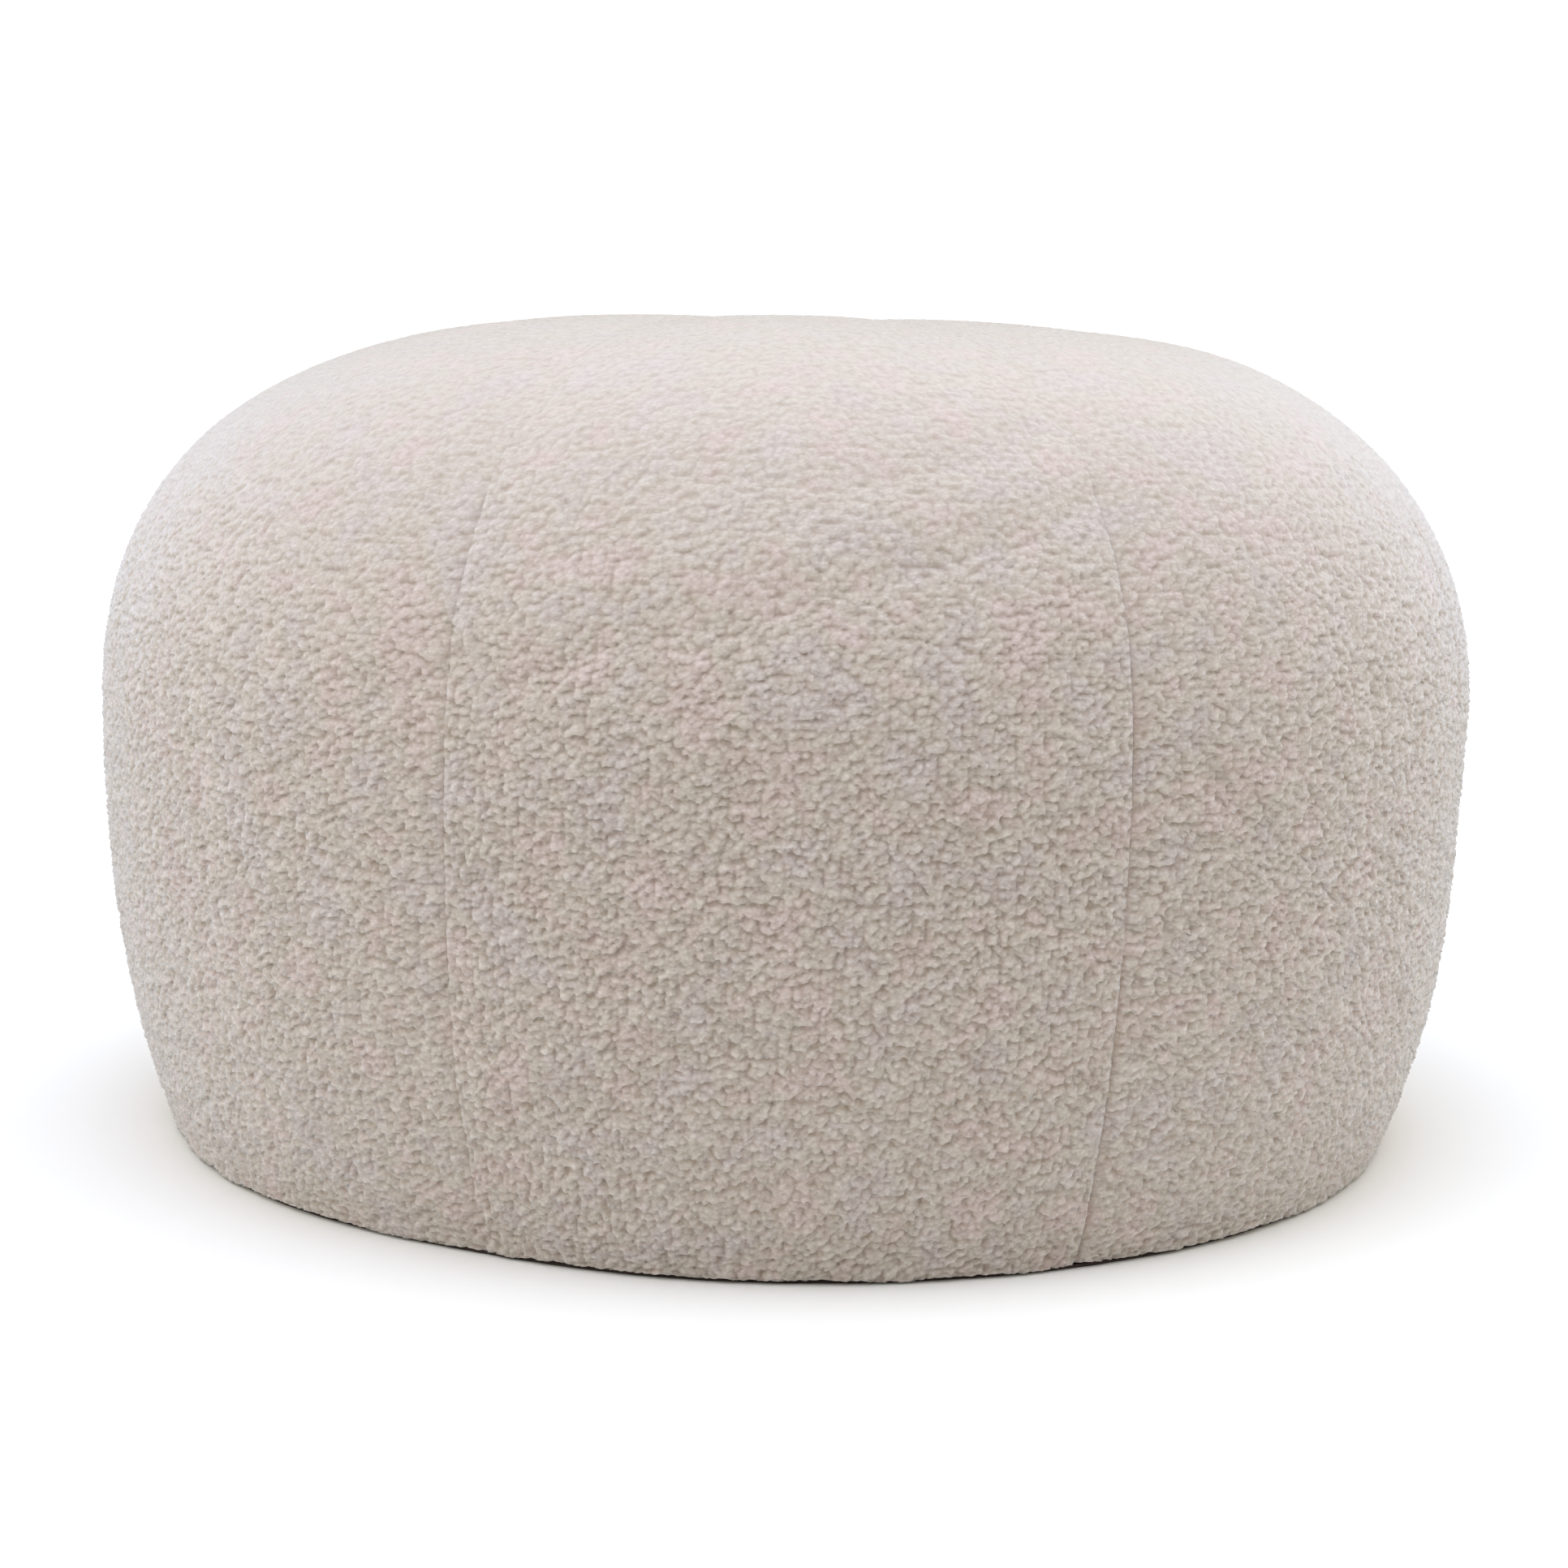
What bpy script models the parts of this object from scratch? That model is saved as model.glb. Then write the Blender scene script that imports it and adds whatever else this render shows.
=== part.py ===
"""A round floor pouf: one filled, sewn body of curly pile cloth on a flat base panel.

Units are metres, +Z is up and the front faces -Y. The origin is on the surface that the pouf
stands on, under its middle. A place on the cover is given by two numbers: its azimuth, in
degrees from the front towards +X, and its rise, the length along the cloth from the foot seam.
"""
import bpy
import numpy as np

MM = 0.001

# Driving sizes, measured to the tips of the pile
RADIUS = 325 * MM
HEIGHT = 381 * MM
BELLY_HEIGHT = 203 * MM
FOOT_RADIUS = 294 * MM

# How square each quarter of the side view is: 2 is an ellipse, more is squarer
SHOULDER_SQUARENESS = 3.65
CROWN_SQUARENESS = 2.10
FOOT_SLOPE = 1.09
SIDE_SQUARENESS = 2.49

# Base panel, and the turned-in edge of the cover above it
BASE_THICKNESS = 1.5 * MM
BASE_INSET = 2.0 * MM
BASE_BEVEL = 0.4 * MM
SEAT_GAP = 0.3 * MM
TURN_IN = 1.5 * MM
TURN_IN_RISE = 1.5 * MM

# Panels of the cover, from the crown's middle to the foot; the front one is cut a little wider
PANELS = 8
FRONT_PANEL_DEG = 48.2
FRONT_PANEL_MIDDLE_DEG = 0.3
PANEL_PUFF = 3.0 * MM
PANEL_PUFF_POWER = 2.6
PANEL_PUFF_SHARE = 0.35
PUFF_LEFT_AT_FOOT = 0.35
PUFF_FADE_RISE = 60 * MM

# Sewn channel between two panels
CHANNEL_DEPTH = 2.6 * MM
CHANNEL_HALF_WIDTH = 5.0 * MM
CHANNEL_DEPTH_LEFT_AT_CROWN = 0.3
CHANNEL_WIDTH_LEFT_AT_CROWN = 0.25
CROWN_DIMPLE_DEPTH = 3.0 * MM
CROWN_DIMPLE_RADIUS = 40 * MM
CROWN_FADE_RADIUS = 160 * MM

# Mesh columns across a panel, from its middle (0) to its seam (1), and rows up the cover
COLUMNS_TO_SEAM = (0.0, 0.23, 0.46, 0.69, 0.91, 0.965)
ROWS = 36
CROWN_STOP = 12 * MM
PROFILE_SAMPLES = 400
SLOPE_REACH = 4 * MM

# Where the filling is fuller (+) or slacker (-) than the even shape
# azimuth deg, rise mm, spread deg, spread mm, swell mm
SWELLS = (
    (-98, 395, 34, 60, -2.2),
    (-160, 430, 50, 90, -1.5),
    (96, 425, 40, 50, 2.2),
    (82, 165, 22, 40, -1.6),
    (-45, 210, 26, 80, 0.9),
    (4, 190, 20, 70, 1.2),
    (150, 200, 34, 80, -1.2),
)

# Where the foot is drawn in more than its circle
# azimuth deg, spread deg, draw mm
FOOT_DRAWS = (
    (-27, 14, 4.5),
    (-145, 26, 3.0),
    (140, 30, 4.0),
)
DRAW_FADE_RISE = 110 * MM
FOOT_LEVEL_RISE = 30 * MM

# Soft folds in the cloth: a trough, with a low ridge along its upper side
# half width mm, trough mm, ridge mm, route as (azimuth deg, rise mm)
RIDGE_OFFSET = 1.7
FOLDS = (
    (13, 2.6, 1.8, ((-19, 238), (-12, 255), (-3, 265), (9, 286), (19, 301), (24, 320))),
    (12, 1.6, 1.0, ((-37, 194), (-33, 216), (-22, 248))),
    (13, 1.3, 0.8, ((-7, 325), (3, 320), (12, 331), (23, 353))),
    (13, 1.8, 1.2, ((-21, 163), (-10, 185), (0, 207), (9, 220))),
    (14, 1.7, 1.7, ((-21, 54), (-10, 88), (-2, 106), (5, 99))),
    (12, 1.1, 0.7, ((-14, 27), (-7, 41), (1, 46))),
    (12, 1.1, 0.7, ((6, 198), (12, 181), (19, 180))),
    (11, 1.3, 0.6, ((30, 210), (33, 192), (37, 170))),
    (11, 1.2, 0.6, ((45, 276), (47, 234))),
    (12, 1.2, 0.6, ((40, 296), (49, 285))),
    (11, 1.2, 0.6, ((-52, 224), (-48, 196))),
    (14, 1.4, 0.8, ((-118, 205), (-104, 240), (-92, 252))),
    (14, 1.5, 0.9, ((98, 268), (112, 246), (126, 240))),
    (15, 1.6, 0.9, ((160, 262), (176, 248), (192, 216))),
)

PILE_COLOUR = (0.66, 0.60, 0.54, 1.0)
BASE_COLOUR = (0.035, 0.028, 0.026, 1.0)
PILE_ROUGHNESS = 0.95
BASE_ROUGHNESS = 0.85
SHARP_EDGE_DEG = 30.0


def clear_scene():
    """Start from an empty scene."""
    for thing in list(bpy.data.objects):
        bpy.data.objects.remove(thing, do_unlink=True)


def make_material(name, colour, roughness):
    """A plain cloth finish."""
    material = bpy.data.materials.new(name)
    material.use_nodes = True
    shader = material.node_tree.nodes["Principled BSDF"]
    shader.inputs["Base Color"].default_value = colour
    shader.inputs["Roughness"].default_value = roughness
    shader.inputs["Metallic"].default_value = 0.0
    return material


def smooth_step(low, high, value):
    """0 below low, 1 above high, and a smooth S between them."""
    part = np.clip((value - low) / (high - low), 0.0, 1.0)
    return part * part * (3.0 - 2.0 * part)


def mix(first, second, part):
    """The value that is the given part of the way from first to second."""
    return first + (second - first) * part


def angle_between(first_deg, second_deg):
    """Signed difference of two azimuths, in degrees, from -180 to 180."""
    return (first_deg - second_deg + 180.0) % 360.0 - 180.0


def side_profile():
    """Side view of the cover from the foot to the crown, as radius, height and rise.

    Below the belly: radius = foot + (R - foot) cos(t)^(2/a), height = belly (1 - sin(t)^(2/b)).
    Above it: radius = R cos(t)^(2/c), height = belly + (H - belly) sin(t)^(2/d), with t from
    0 at the belly to a quarter turn. The cover's edge is turned in just above the base panel.
    """
    turn = np.linspace(0.0, np.pi / 2.0, PROFILE_SAMPLES)
    cosine = np.clip(np.cos(turn), 0.0, 1.0)
    low_radius = FOOT_RADIUS + (RADIUS - FOOT_RADIUS) * cosine ** (2.0 / FOOT_SLOPE)
    low_height = BELLY_HEIGHT * (1.0 - np.sin(turn) ** (2.0 / SIDE_SQUARENESS))
    high_radius = RADIUS * cosine ** (2.0 / SHOULDER_SQUARENESS)
    high_height = BELLY_HEIGHT + (HEIGHT - BELLY_HEIGHT) * np.sin(turn) ** (2.0 / CROWN_SQUARENESS)
    radius = np.concatenate([low_radius[::-1], high_radius[1:]])
    height = np.concatenate([low_height[::-1], high_height[1:]])
    seat = BASE_THICKNESS + SEAT_GAP
    above = height > seat + TURN_IN_RISE
    foot_edge = np.interp(seat + TURN_IN_RISE, height, radius)
    radius = np.concatenate([[foot_edge - TURN_IN, foot_edge], radius[above]])
    height = np.concatenate([[seat, seat + TURN_IN_RISE], height[above]])
    rise = np.concatenate([[0.0], np.cumsum(np.hypot(np.diff(radius), np.diff(height)))])
    return radius, height, rise


def seam_azimuths():
    """Azimuths of the seams, starting at the right edge of the front panel."""
    other_panel = (360.0 - FRONT_PANEL_DEG) / (PANELS - 1)
    first = FRONT_PANEL_MIDDLE_DEG + FRONT_PANEL_DEG / 2.0
    return first + other_panel * np.arange(PANELS)


def panel_columns():
    """Azimuth of each mesh column, its panel's half angle and its place across the panel.

    The place runs from -1 at one seam through 0 in the panel's middle to 1 at the next, and the
    columns crowd together beside the seams, where the channels are.
    """
    seams = seam_azimuths()
    side = np.array(COLUMNS_TO_SEAM)
    across = np.concatenate([[-1.0], -side[:0:-1], side])
    azimuth, half_angle, place = [], [], []
    for start, end in zip(seams, np.append(seams[1:], seams[0] + 360.0)):
        half = (end - start) / 2.0
        azimuth.append(start + half * (across + 1.0))
        half_angle.append(np.full(across.size, half))
        place.append(across)
    return np.concatenate(azimuth), np.concatenate(half_angle), np.concatenate(place)


def fold_relief(azimuth, rise, half_width, trough, ridge, route):
    """Height of one soft fold over the even surface.

    With d the distance above the route and w the half width, it is
    ridge exp(-((d - 1.7 w) / w)^2) - trough exp(-(d / w)^2), faded beyond the route's ends.
    """
    points = np.array([(np.radians(a) * RADIUS, r * MM) for a, r in route])
    middle = np.mean([a for a, r in route])
    x = np.radians(angle_between(azimuth, middle) + middle) * RADIUS
    nearest = np.full(x.shape, 1.0e9)
    above = np.zeros(x.shape)
    beyond = np.zeros(x.shape)
    for start, end in zip(points[:-1], points[1:]):
        along = end - start
        length = np.hypot(*along)
        along = along / length
        step = (x - start[0]) * along[0] + (rise - start[1]) * along[1]
        side = (rise - start[1]) * along[0] - (x - start[0]) * along[1]
        over = np.maximum(np.maximum(-step, step - length), 0.0)
        distance = np.hypot(over, side)
        closer = distance < nearest
        nearest = np.where(closer, distance, nearest)
        above = np.where(closer, side, above)
        beyond = np.where(closer, over, beyond)
    width = half_width * MM
    dip = trough * np.exp(-(above / width) ** 2)
    swell = ridge * np.exp(-((above - RIDGE_OFFSET * width) / width) ** 2)
    return (swell - dip) * MM * np.exp(-(beyond / width) ** 2)


def cover_relief(azimuth, rise, half_angle, place, radius, full_rise):
    """How far the cover stands out from the even shape, along its outward direction.

    Each panel puffs by P (s - |u|^n) at place u, each seam lies in a channel of depth
    D exp(-(d / w)^2) at distance d from it, and both fade towards the crown's middle.
    """
    off_crown = smooth_step(0.0, CROWN_FADE_RADIUS, radius)
    off_foot = smooth_step(0.0, PUFF_FADE_RISE, rise)
    puff = PANEL_PUFF * (PANEL_PUFF_SHARE - np.abs(place) ** PANEL_PUFF_POWER)
    relief = puff * off_crown * mix(PUFF_LEFT_AT_FOOT, 1.0, off_foot)

    seam_distance = (1.0 - np.abs(place)) * np.radians(half_angle) * radius
    channel_width = CHANNEL_HALF_WIDTH * mix(CHANNEL_WIDTH_LEFT_AT_CROWN, 1.0, off_crown)
    channel_depth = CHANNEL_DEPTH * mix(CHANNEL_DEPTH_LEFT_AT_CROWN, 1.0, off_crown)
    relief = relief - channel_depth * np.exp(-(seam_distance / channel_width) ** 2)

    crown_distance = (full_rise - rise) / CROWN_DIMPLE_RADIUS
    relief = relief - CROWN_DIMPLE_DEPTH * np.exp(-crown_distance ** 2)

    for at_azimuth, at_rise, spread_deg, spread_mm, swell in SWELLS:
        sideways = angle_between(azimuth, at_azimuth) / spread_deg
        upward = (rise / MM - at_rise) / spread_mm
        relief = relief + swell * MM * np.exp(-sideways ** 2 - upward ** 2)
    for fold in FOLDS:
        relief = relief + fold_relief(azimuth, rise, *fold)
    return relief


def foot_draw(azimuth):
    """How far the foot is drawn in from its circle at each azimuth."""
    draw = np.zeros(np.shape(azimuth))
    for at_azimuth, spread_deg, inward in FOOT_DRAWS:
        draw = draw + inward * MM * np.exp(-(angle_between(azimuth, at_azimuth) / spread_deg) ** 2)
    return draw


def around(radius, azimuth, height):
    """Points at a radius and azimuth, as an array of x, y and z."""
    angle = np.radians(azimuth)
    return np.stack([radius * np.sin(angle), -radius * np.cos(angle), height], axis=-1)


def cover_grid():
    """Rings of points up the cover, from the foot edge to the last ring before the crown.

    Each ring is the side profile turned about Z, moved along the profile's outward direction by
    the cover's relief, and drawn in towards the foot.
    """
    profile_radius, profile_height, profile_rise = side_profile()
    full_rise = profile_rise[-1]
    turned_edge = profile_rise[1]
    stations = np.linspace(turned_edge, full_rise - CROWN_STOP, ROWS)
    stations = np.concatenate([[0.0], stations])
    radius = np.interp(stations, profile_rise, profile_radius)[:, None]
    height = np.interp(stations, profile_rise, profile_height)[:, None]
    ahead = np.clip(stations + SLOPE_REACH, 0.0, full_rise)
    behind = np.clip(stations - SLOPE_REACH, turned_edge, full_rise)
    out = np.interp(ahead, profile_rise, profile_height) - np.interp(behind, profile_rise, profile_height)
    up = np.interp(behind, profile_rise, profile_radius) - np.interp(ahead, profile_rise, profile_radius)
    size = np.hypot(out, up)

    azimuth, half_angle, place = panel_columns()
    rise = stations[:, None]
    relief = cover_relief(azimuth, rise, half_angle, place, radius, full_rise)
    drawn = foot_draw(azimuth) * (1.0 - smooth_step(0.0, DRAW_FADE_RISE, rise))
    lifted = smooth_step(turned_edge, FOOT_LEVEL_RISE, rise)
    ring_radius = radius + relief * (out / size)[:, None] - drawn
    ring_height = height + relief * (up / size)[:, None] * lifted
    return around(ring_radius, azimuth, ring_height)


def closed_mesh(name, rings, bottom, top):
    """A closed body from rings of points, with a point that closes each end."""
    rows, columns = rings.shape[:2]
    points = np.concatenate([rings.reshape(-1, 3), [bottom, top]])
    low, high = rows * columns, rows * columns + 1
    faces = []
    for row in range(rows - 1):
        for column in range(columns):
            beside = (column + 1) % columns
            lower, upper = row * columns, (row + 1) * columns
            faces.append((lower + column, lower + beside, upper + beside, upper + column))
    last = (rows - 1) * columns
    for column in range(columns):
        beside = (column + 1) % columns
        faces.append((low, beside, column))
        faces.append((high, last + column, last + beside))
    mesh = bpy.data.meshes.new(name)
    mesh.from_pydata(points.tolist(), [], faces)
    mesh.validate()
    mesh.shade_smooth()
    return mesh


def add_piece(name, mesh, material):
    """Put a mesh in the scene under its own name, with its own material."""
    piece = bpy.data.objects.new(name, mesh)
    mesh.materials.append(material)
    bpy.context.scene.collection.objects.link(piece)
    return piece


def make_cover_body(material):
    """The filled body: crown, round shoulders, puffed panels, sewn channels and soft folds."""
    rings = cover_grid()
    bottom = (0.0, 0.0, BASE_THICKNESS + SEAT_GAP)
    top = (0.0, 0.0, rings[-1, :, 2].mean())
    mesh = closed_mesh("pouf_body", rings, bottom, top)
    return add_piece("pouf_body", mesh, material)


def make_base_panel(material):
    """The flat base panel, cut to the drawn-in outline of the foot, its edge eased."""
    azimuth = panel_columns()[0]
    profile_radius = side_profile()[0]
    edge = profile_radius[0] - BASE_INSET - foot_draw(azimuth)
    levels = (
        (edge - BASE_BEVEL, 0.0),
        (edge, BASE_BEVEL),
        (edge, BASE_THICKNESS - BASE_BEVEL),
        (edge - BASE_BEVEL, BASE_THICKNESS),
    )
    rings = np.stack([around(radius, azimuth, np.full(azimuth.size, height)) for radius, height in levels])
    mesh = closed_mesh("base_panel", rings, (0.0, 0.0, 0.0), (0.0, 0.0, BASE_THICKNESS))
    mesh.set_sharp_from_angle(angle=np.radians(SHARP_EDGE_DEG))
    return add_piece("base_panel", mesh, material)


def main():
    clear_scene()
    make_cover_body(make_material("curly pile cloth", PILE_COLOUR, PILE_ROUGHNESS))
    make_base_panel(make_material("dark base cloth", BASE_COLOUR, BASE_ROUGHNESS))


main()
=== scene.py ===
"""Looks of the round pouf: eight sewn panels of curly pile cloth over a firm filling, on a dark
base cloth, with the camera, the pale floor and the soft light of the photograph.

Metres, +Z up, front towards -Y. A place on the cover is its azimuth, in degrees from the front
towards +X, and its rise, the length along the cloth from the foot seam.
"""
import math

import bpy
import numpy as np
from mathutils import Matrix, Vector


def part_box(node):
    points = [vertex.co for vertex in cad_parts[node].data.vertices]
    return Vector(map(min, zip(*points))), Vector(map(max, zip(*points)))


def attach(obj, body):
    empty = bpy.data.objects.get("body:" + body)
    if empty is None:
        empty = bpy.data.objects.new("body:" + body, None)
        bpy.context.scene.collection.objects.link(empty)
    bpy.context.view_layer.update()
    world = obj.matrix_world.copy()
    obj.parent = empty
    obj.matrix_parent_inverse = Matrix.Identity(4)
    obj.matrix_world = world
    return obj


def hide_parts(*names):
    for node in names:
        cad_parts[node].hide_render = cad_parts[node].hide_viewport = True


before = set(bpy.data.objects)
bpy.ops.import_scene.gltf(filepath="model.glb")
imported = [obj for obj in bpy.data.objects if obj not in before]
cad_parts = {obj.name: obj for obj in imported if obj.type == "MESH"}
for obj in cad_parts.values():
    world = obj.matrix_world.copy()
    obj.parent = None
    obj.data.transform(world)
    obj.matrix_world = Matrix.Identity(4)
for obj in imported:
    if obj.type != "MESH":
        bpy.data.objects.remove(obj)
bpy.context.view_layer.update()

MM = 0.001

# The even shape under the pile, with the part's own sizes
RADIUS = 325 * MM
HEIGHT = 381 * MM
BELLY_HEIGHT = 203 * MM
FOOT_RADIUS = 294 * MM
SHOULDER_SQUARENESS = 3.65
CROWN_SQUARENESS = 2.10
FOOT_SLOPE = 1.09
SIDE_SQUARENESS = 2.49
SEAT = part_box("pouf_body")[0][2]
TURN_IN = 1.5 * MM
TURN_IN_RISE = 1.5 * MM
PROFILE_SAMPLES = 2000
SLOPE_REACH = 4 * MM

# Panels of the cover, counted round from the right of the front one
# name, mesh cells across it at the belly
PANELS = (
    ("panel_front_right", 144),
    ("panel_right", 112),
    ("panel_back_right", 96),
    ("panel_back", 96),
    ("panel_back_left", 96),
    ("panel_left", 112),
    ("panel_front_left", 144),
    ("panel_front", 208),
)
FRONT_PANEL_DEG = 48.2
FRONT_PANEL_MIDDLE_DEG = 0.3
PANEL_PUFF = 3.0 * MM
PANEL_PUFF_POWER = 2.6
PANEL_PUFF_SHARE = 0.35
VALLEY_ROUNDING = 7 * MM
PUFF_LEFT_AT_FOOT = 0.35
PUFF_FADE_RISE = 60 * MM

# Sewn channels: a soft valley with a narrow dip at its bottom, where the edges are rolled in.
# The dip is deeper in some places than in others, and above the seam's visible top the pile
# runs on over it. The two panels' rims stand a hair apart, so that they share no face.
CHANNEL_DEPTH = 0.8 * MM
CHANNEL_HALF_WIDTH = 4.0 * MM
SEAM_ROLL_DEPTH = 1.9 * MM
SEAM_ROLL_WIDTH = 1.3 * MM
SEAM_PILE_SUNK = 0.5
SEAM_GAP = 0.04 * MM
SEAM_TOP_RISE = (305 * MM, 330 * MM)
SEAM_LEFT_ABOVE = 0.05
SEAM_EVEN_SHARE = 0.85
SEAM_UNEVEN_SHARE = 0.4
# How clearly each seam shows, counted round from the one at the right of the front panel
SEAM_SHOWS = (1.0, 0.7, 0.6, 0.7, 0.7, 0.6, 0.7, 0.55)
CROWN_DIMPLE_DEPTH = 3.0 * MM
CROWN_DIMPLE_RADIUS = 40 * MM
CROWN_FADE_RADIUS = 160 * MM

# Where the filling is fuller (+) or slacker (-) than the even shape
# azimuth deg, rise mm, spread deg, spread mm, swell mm
SWELLS = (
    (-98, 395, 34, 60, -2.2),
    (-160, 430, 50, 90, -1.5),
    (96, 425, 40, 50, 2.2),
    (82, 165, 22, 40, -1.6),
    (-45, 210, 26, 80, 0.9),
    (4, 190, 20, 70, 1.2),
    (150, 200, 34, 80, -1.2),
)

# Where the foot is drawn in more than its circle
# azimuth deg, spread deg, draw mm
FOOT_DRAWS = (
    (-27, 14, 4.5),
    (-145, 26, 3.0),
    (140, 30, 4.0),
)
DRAW_FADE_RISE = 110 * MM
FOOT_LEVEL_RISE = 30 * MM
# The pile hangs down over the base panel's edge, more in some places than in others
FOOT_HANG = 1.5 * MM
FOOT_HANG_EVEN_SHARE = 0.5
FOOT_HANG_AT_RISE = 2.1 * MM
FOOT_HANG_SPREAD = 3.5 * MM

# Soft folds: a trough, with a low ridge along its upper side
# half width mm, trough mm, ridge mm, route as (azimuth deg, rise mm)
RIDGE_OFFSET = 1.7
FOLD_SHARE = 0.42
FOLDS = (
    (13, 2.6, 1.8, ((-19, 238), (-12, 255), (-3, 265), (9, 286), (19, 301), (24, 320))),
    (12, 1.6, 1.0, ((-37, 194), (-33, 216), (-22, 248))),
    (13, 1.3, 0.8, ((-7, 325), (3, 320), (12, 331), (23, 353))),
    (13, 1.8, 1.2, ((-21, 163), (-10, 185), (0, 207), (9, 220))),
    (14, 1.7, 1.7, ((-21, 54), (-10, 88), (-2, 106), (5, 99))),
    (12, 1.1, 0.7, ((-14, 27), (-7, 41), (1, 46))),
    (12, 1.1, 0.7, ((6, 198), (12, 181), (19, 180))),
    (11, 1.3, 0.6, ((30, 210), (33, 192), (37, 170))),
    (11, 1.2, 0.6, ((45, 276), (47, 234))),
    (12, 1.2, 0.6, ((40, 296), (49, 285))),
    (11, 1.2, 0.6, ((-52, 224), (-48, 196))),
    (14, 1.4, 0.8, ((-118, 205), (-104, 240), (-92, 252))),
    (14, 1.5, 0.9, ((98, 268), (112, 246), (126, 240))),
    (15, 1.6, 0.9, ((160, 262), (176, 248), (192, 216))),
)
# Along each fold the pile also parts in a narrow line
PARTING_WIDTH = 2.6 * MM
PARTING_SHARE = 0.55

# Mesh of a panel: its cells across are halved wherever the panel has narrowed by half
ROW_STEP = 1.1 * MM
HALVINGS = 4

# Curls of the pile: small bumps, one to each cell of the cloth. Each is moved, turned, sized and
# raised by chance, droops down the cloth at its tip, and lies flatter towards the crown.
CURL_RISE = 2.75 * MM
CURL_PITCH = 3.0 * MM
CURL_REACH = 2
CURL_JITTER = 0.7
CURL_HALF_HEIGHT = (1.35 * MM, 1.75 * MM)
CURL_HALF_LENGTH = (1.6 * MM, 2.4 * MM)
CURL_LEAN = 0.7
CURL_TIP = 0.6
CURL_SKIRT = 0.35
CURL_DEPTH = 2.6 * MM
CURL_STAND = 0.6 * MM
CURL_DROOP = 0.6
CURL_BEND = 0.8 * MM
CURL_BEND_SIZE = 7.0 * MM
CURL_HANDOVER = 4.0 * MM
CURL_STRETCH_RISE = (230 * MM, 400 * MM)
CURL_STRETCH = 0.45
CROWN_PILE_RISE = (150 * MM, 400 * MM)
CROWN_PILE_LEFT = 0.22
CLUMP_SIZE = 16 * MM
CLUMP_HEIGHT = 0.35 * MM

# Curl height at the two hidden points inside a panel
INNER_CURL = 0.5

# Table of random numbers that each cell of space picks a row from
COVER_SEED = 7
RANDOM_ROWS = 4096
RANDOM_COLUMNS = 8
CELL_PRIMES = (73856093, 19349663, 83492791)
CELL_SHIFT = 9

# Looks of the pile cloth: sizes of its pattern, and how much each thing shows. The gaps between
# the tufts and curls carry painted shade, and the curls' tips a painted highlight, lighter and
# cooler; that tint is a gain past white, so it is given as linear numbers.
TUFT_SIZE = 2.2 * MM
TUFT_SQUASH = 1.25
FIBRE_SIZE = 1.1 * MM
SWIRL_SIZE = 5.0 * MM
SWIRL_MOVE = 3.2 * MM
PATCH_SIZE = 26.0 * MM
TUFT_BUMP = -0.7
FIBRE_BUMP = 0.4
PILE_BUMP_DEPTH = 0.6 * MM
# Painted shade: how dark the gaps between tufts and between curls are painted, and the even
# painted shade where the pile lies flat
TUFT_GAP_PAINTED_SHADE = 0.45
CURL_GAP_PAINTED_SHADE = 0.55
FLAT_PILE_PAINTED_SHADE = 0.3
# Painted highlight on the curls' tips, and the painted shade colour in the gaps
TIP_PAINTED_HIGHLIGHT = (1.10, 1.12, 1.16, 1.0)
GAP_PAINTED_SHADE_TINT = "#D4C9C0"
YARN_TONES = ((0.36, "#CEC2B9"), (0.5, "#CDC2B3"), (0.64, "#D2C1B7"))

# Looks of the base cloth
DIMPLE_SIZE = 1.6 * MM
BASE_FIBRE_SIZE = 0.8 * MM
DIMPLE_DEPTH = 0.3 * MM
BASE_TONES = ("#271B17", "#46362F")

# Camera, in the even shape's radius where it says so
IMAGE_PIXELS = 1932
FOCAL_PIXELS = 3244.8
SENSOR_MM = 36.0
CAMERA_DISTANCE = 4.0 * RADIUS
CAMERA_ELEVATION_DEG = 8.10
CAMERA_ROLL_DEG = 1.11
LOOK_AT = (-0.0009 * RADIUS, 0.0, 0.4812 * RADIUS)

# The floor, and the white that the camera sees behind it
FLOOR_REACH = 14.0
FLOOR_TONE = "#F7F6F0"
BACKDROP = (1.1, 1.1, 1.1)

# Round patches of light on the studio's white ceiling and walls
# azimuth deg, elevation deg, tightness, power, colour
LIGHT_PATCHES = (
    (0, 90, 10, 1.96, "#C9E1FF"),
    (0, 68, 9, 1.6, "#FBF2FF"),
    (0, 90, 3, 0.95, "#E0E8FF"),
    (-90, 30, 4, 1.05, "#FFF0E0"),
    (-60, 30, 6, 1.05, "#EEFFFF"),
    (90, 30, 4, 0.86, "#FAFFF0"),
    (120, 22, 6, 1.18, "#FFF1DC"),
    (180, 35, 3, 0.18, "#FFFFFF"),
)


def smooth_step(low, high, value):
    """0 below low, 1 above high, and a smooth S between them."""
    part = np.clip((value - low) / (high - low), 0.0, 1.0)
    return part * part * (3.0 - 2.0 * part)


def mix(first, second, part):
    """The value that is the given part of the way from first to second."""
    return first + (second - first) * part


def angle_between(first_deg, second_deg):
    """Signed difference of two azimuths, in degrees, from -180 to 180."""
    return (first_deg - second_deg + 180.0) % 360.0 - 180.0


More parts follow.
